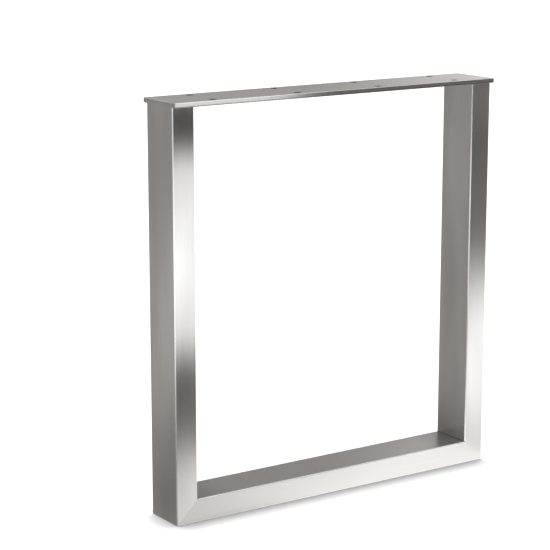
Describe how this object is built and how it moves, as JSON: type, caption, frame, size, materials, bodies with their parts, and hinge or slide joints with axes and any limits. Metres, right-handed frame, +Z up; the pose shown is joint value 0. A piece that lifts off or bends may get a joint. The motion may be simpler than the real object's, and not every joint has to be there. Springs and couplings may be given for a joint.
{
  "type": "table leg",
  "caption": "Closed rectangular frame leg of brushed steel tube, mitred at the floor, with a drilled plate across the top that screws under a table top.",
  "frame": {"origin": "middle of the bottom rail's underside, on the floor", "axes": "+X along the frame's width, from the left upright to the right one; +Y through its depth, away from the viewer; +Z up, from the floor to the top plate"},
  "size_m": [0.65, 0.1, 0.7],
  "materials": {
    "left_upright": "brushed along the tube",
    "right_upright": "brushed along the tube",
    "bottom_rail": "brushed along the tube",
    "top_plate": "brushed along the plate"
  },
  "bodies": {
    "root": {"left_upright": "left_upright", "right_upright": "right_upright", "bottom_rail": "bottom_rail", "top_plate": "top_plate"}
  },
  "joints": []
}
